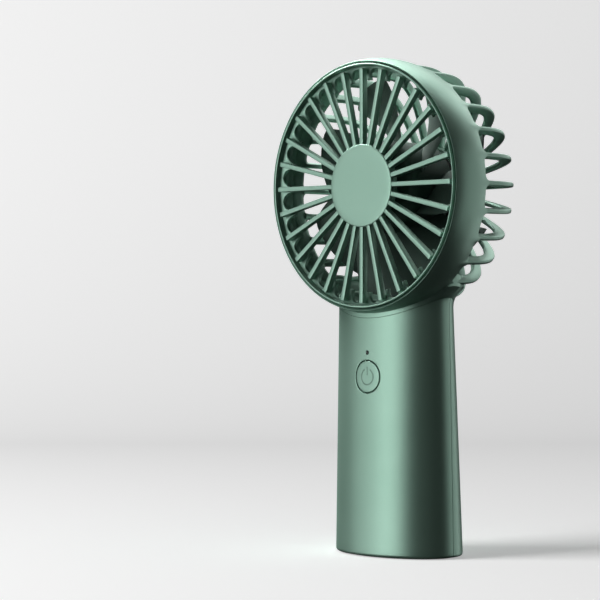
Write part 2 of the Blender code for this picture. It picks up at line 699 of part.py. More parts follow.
def charging_port():
    """Metal shell and its tongue on a small board, behind the opening in the rear shell."""
    tube = [rounded_outline(8.9 * MM, 3.2 * MM, 1.4 * MM),
            rounded_outline(8.3 * MM, 2.6 * MM, 1.15 * MM)]
    place("port_shell", flat_mesh("port_shell", tube, 7.0 * MM),
          finish("port_steel", (0.6, 0.6, 0.6), 0.25, 1.0), port_frame(37.4 * MM))
    insert = flat_mesh("port_tongue", [rounded_outline(7.7 * MM, 2.0 * MM, 0.9 * MM)], 1.6 * MM)
    tongue = place("port_tongue", insert, finish("tongue_black", (0.02, 0.02, 0.02), 0.5),
                   port_frame(34.8 * MM))
    blade = box_mesh("tongue_blade", (6.2 * MM, 5.2 * MM, 0.7 * MM), [at(0.0, 37.6 * MM, PORT_Z)])
    add(tongue, place("tongue_blade", blade))
    size = (16.0 * MM, 12.5 * MM, 1.2 * MM)
    place("charge_board", box_mesh("charge_board", size, [at(0.0, 32.25 * MM, PORT_Z - 2.5 * MM)]),
          finish("charge_board_green", (0.02, 0.12, 0.06), 0.4))


def wire_leads():
    """Pairs of leads from the motor, the cells and the port to the control board."""
    routes = {
        "motor_lead": ((2.0, 37.2, 135.4), (2.0, 37.4, 130.0), (2.0, 36.8, 121.0),
                       (2.0, 34.9, 111.0), (2.0, 32.4, 103.0), (2.0, 31.0, 96.5),
                       (2.0, 29.3, 91.3), (2.2, 25.0, 88.8), (2.4, 19.0, 88.2),
                       (2.5, 14.3, 87.8), (2.5, 12.3, 86.2), (2.5, 12.1, 84.4)),
        "battery_lead": ((6.5, 23.0, 85.7), (6.5, 18.0, 86.7), (6.1, 14.2, 87.0),
                         (6.0, 12.3, 86.0), (6.0, 12.1, 84.4)),
        "charge_lead": ((1.6, 25.2, 9.6), (1.6, 20.0, 10.6), (1.6, 16.3, 15.0),
                        (1.6, 15.4, 24.0), (1.6, 15.3, 33.0), (1.6, 14.4, 39.5),
                        (1.6, 12.5, 43.2), (1.6, 12.1, 45.1)),
    }
    red, black = (0.5, 0.02, 0.02), (0.02, 0.02, 0.02)
    for name, route in routes.items():
        for side, end, tint in ((-1, "plus", black if name == "motor_lead" else red),
                                (1, "minus", black)):
            points = [at(side * x * MM, depth * MM, z * MM) for x, depth, z in route]
            lead(f"{name}_{end}", points, finish(f"{name}_{end}_sleeve", tint, 0.4))


clear_scene()
PARTS = new_collection("handheld_fan")
CUTTERS = new_collection("handheld_fan_cutters")
ROTOR_AXIS = empty("rotor_axis", ON_AXIS)
BUTTON_AXIS = empty("button_axis", axis_at(0.0, BUTTON_Z))

head_housing()
front_grille()
hub_cap()
impeller(ROTOR_AXIS)
rotor_pieces(ROTOR_AXIS)
motor_bearings()
motor_base()
motor_stator()
windings()
motor_board()
motor_screws()
handle_front_shell()
handle_rear_shell()
shell_screws()
foot_pad()
power_button(BUTTON_AXIS)
switch_pieces(BUTTON_AXIS)
control_board()
status_light()
battery_cells()
battery_tray()
charging_port()
wire_leads()
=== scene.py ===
"""Looks of the handheld fan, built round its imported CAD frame.

Sizes are in millimetres until a piece's mesh is made. Depths are measured backwards from the
plane of the front rim, and angles run round the fan's axis from +X towards +Z.
"""

import bmesh
import bpy
import numpy as np
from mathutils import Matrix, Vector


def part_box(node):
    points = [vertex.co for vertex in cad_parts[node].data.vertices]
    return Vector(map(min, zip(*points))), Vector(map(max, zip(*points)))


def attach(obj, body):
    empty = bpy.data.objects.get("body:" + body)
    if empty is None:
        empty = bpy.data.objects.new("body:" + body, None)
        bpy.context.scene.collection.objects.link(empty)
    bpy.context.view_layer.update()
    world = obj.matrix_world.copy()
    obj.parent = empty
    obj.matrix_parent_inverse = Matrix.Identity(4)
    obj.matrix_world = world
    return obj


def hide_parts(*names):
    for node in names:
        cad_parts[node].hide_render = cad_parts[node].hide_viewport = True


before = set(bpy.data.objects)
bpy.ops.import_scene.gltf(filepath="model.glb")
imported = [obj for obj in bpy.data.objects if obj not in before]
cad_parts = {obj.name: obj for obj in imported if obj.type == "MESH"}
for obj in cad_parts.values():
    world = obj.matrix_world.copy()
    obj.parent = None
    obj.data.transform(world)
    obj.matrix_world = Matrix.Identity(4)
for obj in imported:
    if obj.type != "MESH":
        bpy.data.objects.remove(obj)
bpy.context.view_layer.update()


# Head. The drum, its short neck, the rear cage of bent loops and the motor's seat come out of
# one mould in satin pearl mint plastic. The loops grow out of the drum's rear edge on soft
# fillets, which round off the corners of the windows between them.

MM = 0.001
ring_low, ring_high = (np.array(corner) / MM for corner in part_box("front_grille"))
RIM_Y = ring_low[1]
AXIS_Z = (ring_low[2] + ring_high[2]) / 2
LOOPS = 28
PITCH = 2 * np.pi / LOOPS
DRUM_REAR = 17.6
COLLAR = 51.85
EDGE_ANGLE = np.radians(38)
MERGE = 0.002


def about_axis(radius, angle, depth):
    """Points at a radius and angle round the fan's axis and a depth behind the rim."""
    radius, angle, depth = np.broadcast_arrays(radius, angle, depth)
    return np.stack([radius * np.cos(angle), RIM_Y + depth, AXIS_Z + radius * np.sin(angle)], -1)


def quads(rows, cols, wrap_rows=False, wrap_cols=True):
    """Faces of a grid: each joins a point to its next neighbours along both directions."""
    r, c = np.meshgrid(np.arange(rows - (not wrap_rows)), np.arange(cols - (not wrap_cols)),
                       indexing="ij")
    r2, c2 = (r + 1) % rows, (c + 1) % cols
    return np.stack([r * cols + c, r * cols + c2, r2 * cols + c2, r2 * cols + c], -1).reshape(-1, 4)


def sheet(points, wrap_rows=False, wrap_cols=True):
    """A grid of points with its faces."""
    return points.reshape(-1, 3), quads(*points.shape[:2], wrap_rows, wrap_cols)


def copies(points, wrap_rows, wrap_cols):
    """Many like grids of points, with their faces one after another."""
    count, rows, cols = points.shape[:3]
    faces = quads(rows, cols, wrap_rows, wrap_cols)
    faces = faces[None] + (np.arange(count) * rows * cols)[:, None, None]
    return points.reshape(-1, 3), faces.reshape(-1, 4)


def make_piece(name, surfaces, material, body, nodes):
    """One object from several grids: seams and poles merged, facing outwards, smooth but for
    its sharp edges. It rides on its body and stands for its CAD nodes."""
    starts = np.cumsum([0] + [len(points) for points, _ in surfaces[:-1]])
    points = np.concatenate([points for points, _ in surfaces]) * MM
    faces = np.concatenate([f + start for (_, f), start in zip(surfaces, starts)])
    mesh = bpy.data.meshes.new(name)
    mesh.from_pydata(points.tolist(), [], faces.tolist())
    shape = bmesh.new()
    shape.from_mesh(mesh)
    bmesh.ops.remove_doubles(shape, verts=shape.verts, dist=MERGE * MM)
    bmesh.ops.recalc_face_normals(shape, faces=shape.faces)
    shape.to_mesh(mesh)
    shape.free()
    mesh.shade_smooth()
    mesh.set_sharp_from_angle(angle=EDGE_ANGLE)
    mesh.materials.append(material)
    piece = bpy.data.objects.new(name, mesh)
    bpy.context.scene.collection.objects.link(piece)
    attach(piece, body)
    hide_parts(*nodes)
    return piece


class Flow:
    """A socket's value. Arithmetic on it adds Math nodes to its material."""

    def __init__(self, tree, socket):
        self.tree, self.socket = tree, socket

    def math(self, operation, *values):
        return self.tree.add("ShaderNodeMath", {"operation": operation},
                             dict(enumerate((self, *values))))

    def __add__(self, other):
        return self.math("ADD", other)

    def __mul__(self, other):
        return self.math("MULTIPLY", other)

    def __sub__(self, other):
        return self.math("SUBTRACT", other)

    def __rsub__(self, other):
        return self.tree.add("ShaderNodeMath", {"operation": "SUBTRACT"}, {0: other, 1: self})

    __radd__, __rmul__ = __add__, __mul__


class Finish:
    """A material and its node tree, with a Principled shader ready to be filled in."""

    def __init__(self, name):
        self.material = bpy.data.materials.new(name)
        self.material.use_nodes = True
        self.nodes, self.links = self.material.node_tree.nodes, self.material.node_tree.links
        self.shader = self.nodes["Principled BSDF"]
        self.place = self.add("ShaderNodeTexCoord", out="Object")

    def add(self, kind, settings=None, sockets=None, out=0):
        """Any node: its settings first, then the values or links of its sockets."""
        node = self.nodes.new(kind)
        for key, value in (settings or {}).items():
            setattr(node, key, value)
        self.fill(node, sockets or {})
        return Flow(self, node.outputs[out])

    def fill(self, node, sockets):
        for key, value in sockets.items():
            if isinstance(value, Flow):
                self.links.new(value.socket, node.inputs[key])
            else:
                node.inputs[key].default_value = value

    def noise(self, scale, detail=2.0, rough=0.5, place=None):
        return self.add("ShaderNodeTexNoise", None, {"Vector": place or self.place, "Scale": scale,
                                                     "Detail": detail, "Roughness": rough})

    def spread(self, value, low, high, to_low=0.0, to_high=1.0):
        """The value carried from one range to another, held at the ends."""
        return self.add("ShaderNodeMapRange", None, {0: value, 1: low, 2: high, 3: to_low,
                                                     4: to_high})

    def mix(self, amount, first, second):
        """A blend of two colours."""
        return self.add("ShaderNodeMix", {"data_type": "RGBA"}, {0: amount, 6: first, 7: second}, 2)

    def bump(self, height, distance, strength=1.0):
        return self.add("ShaderNodeBump", None, {"Height": height, "Distance": distance,
                                                 "Strength": strength})

    def done(self, **inputs):
        self.fill(self.shader, {key.replace("_", " "): value for key, value in inputs.items()})
        return self.material


PEARL = (0.245, 0.415, 0.330)
PEARL_LIGHT = (0.280, 0.452, 0.366)


def pearl(name, depth=1.0, roughness=0.40, mark=None):
    """Satin pearl plastic: flakes too fine to see singly speckle its colour and gloss, slow
    swirls from the mould's filling shade it, and the mould's spark texture leaves a fine grain.
    A mark is cut into it, and its cut lines are coloured darker as painted shade."""
    f = Finish(name)
    swirl = f.noise(28.0, 3.0, 0.55)
    flake = f.noise(5200.0, 1.0)
    grain = f.noise(2300.0, 2.0, 0.6)
    shade = f.spread(swirl * 0.6 + flake * 0.4, 0.35, 0.65)
    dark = tuple(channel * depth for channel in PEARL) + (1.0,)
    light = tuple(channel * depth for channel in PEARL_LIGHT) + (1.0,)
    colour = f.mix(shade, dark, light)
    height = grain
    if mark:
        cut_and_painted_shade = mark(f)
        # The mark's cut lines are coloured darker: painted shade inside the cut.
        colour = f.mix(cut_and_painted_shade * 0.55, colour, tuple(channel * 0.3 for channel in PEARL) + (1.0,))
        height = grain * 0.02 + (1.0 - cut_and_painted_shade)
    return f.done(Base_Color=colour, Roughness=f.spread(grain, 0.3, 0.7, roughness - 0.03,
                                                        roughness + 0.05),
                  Metallic=f.spread(flake, 0.3, 0.7, 0.55, 0.75),
                  Coat_Weight=0.08, Coat_Roughness=0.35,
                  Normal=f.bump(height, 0.00012 if mark else 0.00002, 0.6 if mark else 0.35))


def drum_radius(depth):
    """Outside of the drum: it swells from the rim to its widest and eases off to the rear."""
    front = np.clip(9.0 - depth, 0, None)
    return 50.4 - 0.01295 * front ** 2.185 - 0.0149 * np.clip(depth - 9.0, 0, None) ** 2


def drum():
    """Closed profile turned about the axis. Each row has a radius, a depth and a share of the
    fillets: near a loop the rear edge runs back along a quarter circle beside it. The front edge
    slants inwards to the grille's seat."""
    depth = np.array([0.66, 1.0, 1.7, 2.7, 4.0, 5.6, 7.4, 9.2, 11.0, 12.8, 14.2, 15.4, 16.4, 17.1,
                      DRUM_REAR])
    share = np.clip((depth - 12.0) / (DRUM_REAR - 12.0), 0, 1) ** 2
    across = np.array([0.06, 0.14, 0.26, 0.42, 0.6, 0.78, 0.9, 1.0])
    rear = np.stack([49.3 - 3.1 * across, DRUM_REAR + 0.12 * np.sin(np.pi * across)
                     - 2.9 * across ** 1.5, np.ones(8)], 1)
    inside = [(46.2, 13.4, 0.6), (46.2, 11.5, 0.0), (46.2, 9.3, 0.0), (46.3, 9.0, 0.0),
              (48.1, 8.4, 0.0), (48.2, 8.2, 0.0), (48.2, 1.5, 0.0), (48.24, 1.28, 0.0),
              (48.34, 1.16, 0.0), (48.84, 0.66, 0.0), (48.93, 0.6, 0.0), (49.01, 0.6, 0.0)]
    rows = np.concatenate([np.stack([drum_radius(depth), depth, share], 1), rear, inside])
    angle = np.arange(LOOPS * 24) * PITCH / 24
    wall_middle, loop_flank, reach = 47.5, 0.8, 2.3
    beside = np.abs((angle + PITCH / 2) % PITCH - PITCH / 2) * wall_middle - loop_flank
    away = np.clip(reach - np.clip(beside, 0, reach), 0, reach)
    fillet = reach - np.sqrt(reach ** 2 - away ** 2)
    return sheet(about_axis(rows[:, :1], angle[None], rows[:, 1:2] + rows[:, 2:] * fillet),
                 wrap_rows=True)


def bar_section(count, squareness):
    """Round-cornered square from -1 to 1: a superellipse, more square as its power grows."""
    turn = np.arange(count) * 2 * np.pi / count
    c, s = np.cos(turn), np.sin(turn)
    return (np.sign(c) * np.abs(c) ** (2 / squareness), np.sign(s) * np.abs(s) ** (2 / squareness))


def cage_curve(radius, depth, first, count):
    """Radius and depth along a squarish quarter oval from the drum's wall to the seat."""
    power, middle = 5.2, 12.0
    last = np.arctan(radius / 15.9)
    turn = first + (last - first) * np.linspace(0, 1, count)
    reach = (np.cos(turn) ** power + np.sin(turn) ** power) ** (-1 / power)
    return np.stack([radius * reach * np.cos(turn),
                     middle + (depth - middle) * reach * np.sin(turn)], 1)


def loops():
    """Each loop is a soft-edged bar swept along the line midway between its outer and inner
    curves. Its thickness lies across the line's plane, and it swells into the drum."""
    count = 46
    outer, inner = cage_curve(49.2, 45.0, 0.09, count), cage_curve(45.6, 41.4, 0.1, count)
    middle, half = (outer + inner) / 2, (outer - inner) / 2
    root = np.exp(-np.linspace(0, 1, count) * 26)
    across, along = bar_section(20, 4.2)
    line = middle[:, None] + half[:, None] * (1 + 0.02 * root[:, None, None]) * along[None, :, None]
    thick = (0.98 + 0.5 * root[:, None]) * across[None]
    turn = (np.arange(LOOPS) * PITCH)[:, None, None]
    points = about_axis(line[None, ..., 0], turn, line[None, ..., 1])
    side = np.stack([-np.sin(turn), 0 * turn, np.cos(turn)], -1)
    return copies(points + side * thick[None, ..., None], False, True)


def motor_seat():
    """Turned disc with a shallow ring groove in its back and a socket in its front."""
    profile = np.array([(0, 45.25), (7, 45.3), (12.4, 45.35), (12.7, 45.1), (13.1, 45.1),
                        (13.4, 45.35), (16.3, 45.3), (16.9, 45.1), (17.3, 44.7), (17.4, 44.2),
                        (17.4, 39.9), (17.2, 39.5), (15.8, 39.5), (15.6, 39.7), (15.6, 42.4),
                        (0, 42.4)])
    turn = np.arange(96) * np.pi / 48
    return sheet(about_axis(profile[:, :1], turn[None], profile[:, 1:]))


def oval(z):
    """Half width, half depth and middle of the handle's oval at a height: a straight taper that
    flares along one radius into the drum."""
    t = (z - 0.4) / 95.2
    flare = 9.0 - np.sqrt(81.0 - np.clip(z - 97.6, 0, 7.83) ** 2)
    return 28.95 - 2.05 * t + flare, 19.75 - 3.35 * t + flare, -1.85 * t


def below_axis(radius, x):
    """Height of the round collar of that radius at a distance x from its middle."""
    return AXIS_Z - np.sqrt(radius ** 2 - x ** 2)


def neck():
    """Oval post between the collar seam and the drum. Its ends are parts of cylinders about the
    fan's axis; behind the drum it stands up into the cage, and in front it stops in the wall."""
    turn = np.arange(160) * np.pi / 80
    scale = np.array([0.02, 0.5, 0.9, 0.985, 1, 1, 1, 1, 1, 1, 1, 0.985, 0.9, 0.5, 0.02])[:, None]
    share = np.array([0, 0, 0, 0, 0.04, 0.14, 0.3, 0.5, 0.7, 0.9, 1, 1, 1, 1, 1])[:, None]
    z = np.full((15, 160), 99.0)
    for _ in range(8):
        half_x, half_y, middle = oval(z)
        x = half_x * scale * np.cos(turn)
        y = middle + half_y * scale * np.sin(turn)
        behind = np.clip((y - RIM_Y - 12.0) / 4.0, 0, 1)
        top = 49.2 - 2.7 * behind * behind * (3 - 2 * behind)
        z = below_axis(COLLAR + (top - COLLAR) * share, x)
    return sheet(np.stack([x, y, z], -1))


make_piece("head_moulding", [drum(), loops(), motor_seat(), neck()], pearl("housing_pearl"),
           "fan_body", ["head_housing"])


# Front grille. A ring with a thin bright lip carries straight bars, which stand proud of a web
# whose openings end in pointed arches. It is moulded in the same plastic and pushed into the
# drum until its lip stands a hair in front of the drum's edge.

BAR_HALF = 0.875


def grille_ring():
    """Turned profile: lip, deep groove, then the web out to its arches. Within an opening the
    web's edge is a quarter oval from the bar's flank to the middle of the opening."""
    turn = np.linspace(-np.pi / 2, np.pi / 2, 19)[:-1]
    reach = PITCH / 2 - BAR_HALF / 44
    opening = np.concatenate([reach * np.sin(turn), [reach, PITCH / 2]])
    edge = np.concatenate([46.2 - 4.6 * (1 - np.cos(turn)), [41.6, 41.6]])
    angle = (opening[None] + (np.arange(LOOPS) * PITCH + PITCH / 2)[:, None]).ravel()
    edge = np.tile(edge, LOOPS)[None]
    lip = np.array([(45.5, 8.0), (47.9, 8.0), (47.9, 0.3), (47.84, 0.1), (47.7, 0.0), (47.45, 0.0),
                    (47.3, 0.1), (47.24, 0.35), (47.1, 2.4), (47.0, 2.75), (46.7, 2.95)])
    part = np.array([0.3, 0.6, 0.85, 0.97, 1.0, 1.0, 1.0, 0.97, 0.8, 0.4])[:, None]
    thick = np.array([0, 0, 0, 0.06, 0.2, 0.8, 1.2, 1.45, 1.5, 1.5])[:, None]
    web = 46.7 + (edge - 46.7) * part
    radius = np.concatenate([lip[:, :1] + 0 * edge, web, 45.5 + 0 * edge])
    depths = np.concatenate([lip[:, 1:] + 0 * edge, 3.0 + 0.4 * (46.7 - web) + thick, 5.8 + 0 * edge])
    return sheet(about_axis(radius, angle[None], depths), wrap_rows=True)


def flat_bar_section(half_x, half_y, corner):
    """Rectangle with a small quarter circle at each corner, three points to each."""
    turn = (np.arange(4)[:, None] + np.array([0, 0.5, 1])[None]) * np.pi / 2
    sign_x, sign_y = np.array([1, -1, -1, 1])[:, None], np.array([1, 1, -1, -1])[:, None]
    return ((sign_x * (half_x - corner) + corner * np.cos(turn)).ravel(),
            (sign_y * (half_y - corner) + corner * np.sin(turn)).ravel())


def grille_bars():
    """Flat-faced straight bars from under the cap to just short of the lip, closed at both ends
    by sections that shrink to a point."""
    radius = np.array([15.5, 15.5, 15.6, 20.0, 26.0, 32.0, 38.0, 42.0, 44.6, 45.75, 45.95, 46.0, 46.0])
    size = np.array([0.0, 0.9, 1.0, 1.0, 1.0, 1.0, 1.0, 1.03, 1.08, 1.1, 1.06, 0.95, 0.0])[:, None]
    across, along = flat_bar_section(BAR_HALF, 1.4, 0.2)
    depth = 1.75 + size * along[None]
    turn = (np.arange(LOOPS) * PITCH)[:, None, None]
    points = about_axis(radius[None, :, None], turn, depth[None])
    side = np.stack([-np.sin(turn), 0 * turn, np.cos(turn)], -1)
    return copies(points + side * (size * across)[None, ..., None], False, True)


def centre_ring():
    """Turned ring that ties the bars together behind the cap."""
    profile = np.array([(12.0, 1.7), (12.2, 1.5), (15.9, 1.5), (16.1, 1.7), (16.2, 3.5),
                        (16.0, 3.8), (12.2, 3.8), (12.0, 3.6)])
    return sheet(about_axis(profile[:, :1], np.arange(96)[None] * np.pi / 48, profile[:, 1:]),
                 wrap_rows=True)


make_piece("grille_moulding", [grille_ring(), grille_bars(), centre_ring()],
           pearl("grille_pearl"), "fan_body", ["front_grille"])


# Cap over the middle of the grille. A plain mint disc, very slightly crowned, with a rolled edge
# and a skirt that snaps into the centre ring. A thin shadow gap runs round it.

def cap():
    """Turned profile: crown, rolled edge, then back to the snap skirt."""
    crown = np.linspace(0, 15.6, 8)
    front = np.stack([crown, 0.1 * (crown / 15.6) ** 2], 1)
    profile = np.concatenate([front, [(16.0, 0.2), (16.22, 0.38), (16.3, 0.62), (16.25, 1.0),
                                      (16.0, 1.2), (11.8, 1.25), (11.7, 1.4), (11.7, 3.3),
                                      (11.0, 3.4), (11.0, 1.3), (0, 1.25)]])
    return sheet(about_axis(profile[:, :1], np.arange(128)[None] * np.pi / 64, profile[:, 1:]))


make_piece("cap_moulding", [cap()], pearl("cap_pearl", depth=1.05), "fan_body", ["hub_cap"])


# Fan wheel. A cupped hub and twisted blades in one moulding of green plastic, pushed onto
# the motor's shaft. Its colour is darkened far below the housing's to paint the shade deep
# inside the drum. The blades are thin at their edges and thickest a third of the way back.

BLADES = 7
HUB = 18.2


def wheel_hub():
    """Turned cup with a rolled front edge and a boss for the shaft inside."""
    profile = np.array([(0, 10.0), (12.0, 10.2), (14.6, 10.7), (16.6, 11.7), (17.7, 13.0),
                        (HUB, 14.6), (HUB, 34.2), (17.9, 34.5), (15.9, 34.5), (15.6, 34.2),
                        (15.6, 14.8), (14.8, 12.8), (3.7, 12.6), (3.6, 17.9), (1.4, 18.0),
                        (1.3, 17.8), (1.3, 13.0), (0, 13.0)])
    return sheet(about_axis(profile[:, :1], np.arange(96)[None] * np.pi / 48, profile[:, 1:]))


def wheel_blades():
    """A blade is a twisted, cambered sheet with a thickness that swells and thins along its
    chord. Its pitch falls and its chord grows from root to tip, and it sweeps back as it goes."""
    out = np.linspace(0, 1, 14)[:, None]
    section = np.concatenate([np.linspace(-0.5, 0.5, 17), np.linspace(0.5, -0.5, 17)[1:-1]])[None]
    face = np.concatenate([np.ones(17), -np.ones(15)])[None]
    thick = 0.12 + 0.62 * np.clip(1 - (2 * section) ** 2, 0, 1) ** 0.6
    radius = HUB - 1.3 + (43.6 - HUB + 1.3) * out
    pitch = np.radians(42 - 20 * out)
    chord = 22 + 10 * out - 55 * np.clip(out - 0.8, 0, 1) ** 2
    lift = face * thick - 1.5 * np.cos(np.pi * section)
    swing = -section * chord * np.cos(pitch) + lift * 0.5 * np.sin(pitch)
    depth = 23.5 + section * chord * np.sin(pitch) + lift * np.cos(pitch)
    turn = -(np.radians(10) - 0.35 * out + swing / radius)
    turn = turn[None] - (2 * np.pi * np.arange(BLADES) / BLADES)[:, None, None]
    return copies(about_axis(radius[None], turn, depth[None]), False, True)


# The colour depth of 0.2 darkens the wheel; this is painted shade from inside the drum.
make_piece("wheel_moulding", [wheel_hub(), wheel_blades()], pearl("wheel_painted_shade_green", 0.2, 0.6),
           "rotor", ["impeller"])


# Handle. Two satin pearl shells screwed together meet at a straight seam down each side. The
# front one is holed for the button and the pinhole lamp; the rear one has the charging port and
# four sunk screw holes. Their upper ends follow the round collar under the drum.

def middle_of(node):
    """Middle of a CAD node's box."""
    return np.mean([np.array(corner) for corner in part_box(node)], axis=0) / MM


SEAM_Y = RIM_Y + 22.2
BUTTON_Z, LAMP_Z, PORT_Z = (middle_of(node)[2] for node in ("power_button", "light_pipe", "port_shell"))
SCREWS = [middle_of(f"shell_screw_{i + 1}")[[0, 2]] for i in range(4)]


def oval_point(side, z, x):
    """Front or back of the handle over (x, z)."""
    half_x, half_y, middle = oval(z)
    return middle + side * half_y * np.sqrt(1 - (x / half_x) ** 2)


def shell(side, columns, heights):
    """Oval wall over one half of the handle. Columns are shares of the way from the middle to
    the seam. The last rows and columns roll over the edge and run a little way inwards."""
    edge = SEAM_Y + side * 0.06
    roll = np.array([(0.02, 0.06), (0.08, 0.015), (0.18, 0.0), (1.9, 0.0)])
    col_inset = np.concatenate([roll[::-1, 0], 0 * columns, roll[:, 0]])[None]
    setback = np.concatenate([roll[::-1, 1], 0 * columns, roll[:, 1]])[None]
    at_seam = np.concatenate([-np.ones(4), 0 * columns, np.ones(4)])[None]
    columns = np.concatenate([np.zeros(4), columns, np.zeros(4)])[None]
    foot = np.array([(2.6, 1.5), (2.6, 0.4), (1.3, 0.4), (0.95, 0.44), (0.5, 0.62), (0.2, 0.95),
                     (0.04, 1.3)])
    to_top = np.array([0.2, 0.4, 0.6, 0.8, 0.95, 1.0])
    row_inset = np.concatenate([foot[:, 0], 0 * heights, 0 * to_top, roll[:, 0]])[:, None]
    fixed = np.concatenate([foot[:, 1], heights, np.full(10, heights[-1])])[:, None]
    share = np.concatenate([np.zeros(7 + len(heights)), to_top, np.ones(4)])[:, None]
    collar = COLLAR + 0.04 + np.concatenate([np.full(13 + len(heights), 0.05), roll[:, 1]])[:, None]
    inset = np.maximum(row_inset, col_inset)
    z = fixed + 0 * inset
    for _ in range(8):
        half_x, half_y, middle = oval(z)
        half_x, half_y = half_x - inset, half_y - inset
        spread = np.arccos(np.clip(side * (edge + side * 0.3 - middle) / half_y, -1, 1))
        x = half_x * np.sin(columns * spread)
        y = middle + side * half_y * np.cos(columns * spread)
        edge_y = edge + side * setback
        edge_x = at_seam * half_x * np.sqrt(1 - ((edge_y - middle) / half_y) ** 2)
        x = np.where(at_seam != 0, edge_x, x)
        y = np.where(at_seam != 0, edge_y, y)
        z = fixed + (below_axis(collar, x) - fixed) * share
    return np.stack([x, y, z], -1)


def window(points, x, z, half):
    """Rows and columns of the grid that frame a square window round a point on the wall."""
    middle_row = np.argmin(np.abs(points[:, points.shape[1] // 2, 2] - z))
    rows = np.where(np.abs(points[:, points.shape[1] // 2, 2] - z) <= half + 0.01)[0]
    cols = np.where(np.abs(points[middle_row, :, 0] - x) <= half + 0.35)[0]
    return rows[0], rows[-1], cols[0], cols[-1]


def holed(points, side, holes):
    """The wall with its windows cut out and each filled by rings. They carry the window's edge
    evenly to the hole's outline, roll over its lip and go straight in. A hole is its place in x
    and z, its window's half width, its own half width and height, and its depth."""
    rows, cols = points.shape[:2]
    faces = quads(rows, cols, wrap_cols=False)
    keep = np.ones((rows - 1, cols - 1), bool)
    surfaces = []
    for x, z, half, wide, tall, deep in holes:
        r0, r1, c0, c1 = window(points, x, z, half)
        keep[r0:r1, c0:c1] = False
        frame_edge = np.concatenate([points[r0, c0:c1], points[r0:r1, c1], points[r1, c1:c0:-1],
                                     points[r1:r0:-1, c0]])
        away = frame_edge[:, [0, 2]] - (x, z)
        turn = np.arctan2(away[:, 1], away[:, 0])
        reach = (np.abs(np.cos(turn) / wide) ** 4 + np.abs(np.sin(turn) / tall) ** 4) ** -0.25
        if wide == tall:
            reach = np.full(len(turn), wide)
        hole = reach[:, None] * np.stack([np.cos(turn), np.sin(turn)], 1)
        lip = 0.22
        steps = np.array([(0, 0, 0), (0.4, 0, 0), (0.75, 0, 0), (1, lip, 0), (1, 0.35 * lip, 0.08),
                          (1, 0.05, 0.16), (1, 0, 0.3), (1, 0, deep)])
        grow = 1 + steps[:, 1, None, None] / reach[None, :, None]
        plan = away[None] + (hole[None] * grow - away[None]) * steps[:, 0, None, None]
        plan = plan + (x, z)
        y = oval_point(side, plan[..., 1], plan[..., 0]) - side * steps[:, 2, None]
        surfaces.append(sheet(np.stack([plan[..., 0], y, plan[..., 1]], -1)))
    return [(points.reshape(-1, 3), faces[keep.ravel()])] + surfaces


def share_of(x):
    """Column share at which the middle of the handle's wall is x from the centre line."""
    return np.degrees(np.arcsin(np.asarray(x) / 27.4)) / 92


front_columns = np.unique(np.round(np.concatenate([
    share_of([-7.6, -6, -4.5, -3, -1.5, -0.75, 0, 0.75, 1.5, 3, 4.5, 6, 7.6]),
    np.linspace(-1, share_of(-7.6), 34), np.linspace(share_of(7.6), 1, 34)]), 6))
front_heights = np.concatenate([np.linspace(1.7, 60, 24), np.linspace(63.1, 78.3, 13),
                                [78.7, 79.2, 80.2, 81.2, 81.7], np.linspace(83, 92, 5)])
front_wall = shell(-1, front_columns, front_heights)
make_piece("handle_front", holed(front_wall, -1, [(0, BUTTON_Z, 7.6, 6.6, 6.6, 2.4),
                                                  (0, LAMP_Z, 1.5, 0.75, 0.75, 1.6)]),
           pearl("handle_front_pearl"), "fan_body", ["handle_front_shell"])

rear_columns = np.unique(np.round(np.concatenate([
    share_of([-6, -4.5, -3, -1.5, 0, 1.5, 3, 4.5, 6]), share_of([9.2, 10.5, 12, 13, 14, 15.5, 16.8]),
    -share_of([9.2, 10.5, 12, 13, 14, 15.5, 16.8]), share_of([-7.6, 7.6]),
    np.linspace(-1, share_of(-18.5), 22), np.linspace(share_of(18.5), 1, 22)]), 6))
rear_heights = np.concatenate([[1.7, 3.5, 5.5], np.linspace(7.2, 14.8, 9), [16.5, 18.5],
                               np.linspace(22, 80, 24), np.linspace(83.7, 91.3, 9), [92.0]])
rear_wall = shell(1, rear_columns, rear_heights)
make_piece("handle_rear", holed(rear_wall, 1, [(0, PORT_Z, 5.4, 4.75, 1.9, 3.4)]
                                + [(x, z, 3.9, 2.8, 2.8, 6.0) for x, z in SCREWS]),
           pearl("handle_rear_pearl"), "fan_body", ["handle_rear_shell"])


# Power button. A flush mint disc whose face follows the handle, dished a little for the thumb,
# with a plain ring-and-bar mark cut into it, its lines coloured darker as painted shade. It
# slides in its hole on a thin shadow gap.

def button_mark(f):
    """One inside the mark's lines and nought outside: a ring open at its top, and a short
    upright bar through the opening."""
    across = f.add("ShaderNodeSeparateXYZ", None, {0: f.place}, "X") * 1000.0
    up = f.add("ShaderNodeSeparateXYZ", None, {0: f.place}, "Z") * 1000.0 - BUTTON_Z
    far = (across * across + up * up).math("SQRT")
    ring = f.spread((far - 3.1).math("ABSOLUTE"), 0.2, 0.34, 1.0, 0.0)
    gap = f.spread(across.math("ABSOLUTE") - up * 0.5, -0.1, 0.1)
    bar = (f.spread(across.math("ABSOLUTE"), 0.2, 0.34, 1.0, 0.0)
           * f.spread((up - 2.3).math("ABSOLUTE"), 1.6, 1.7, 1.0, 0.0))
    return (ring * gap).math("MAXIMUM", bar)


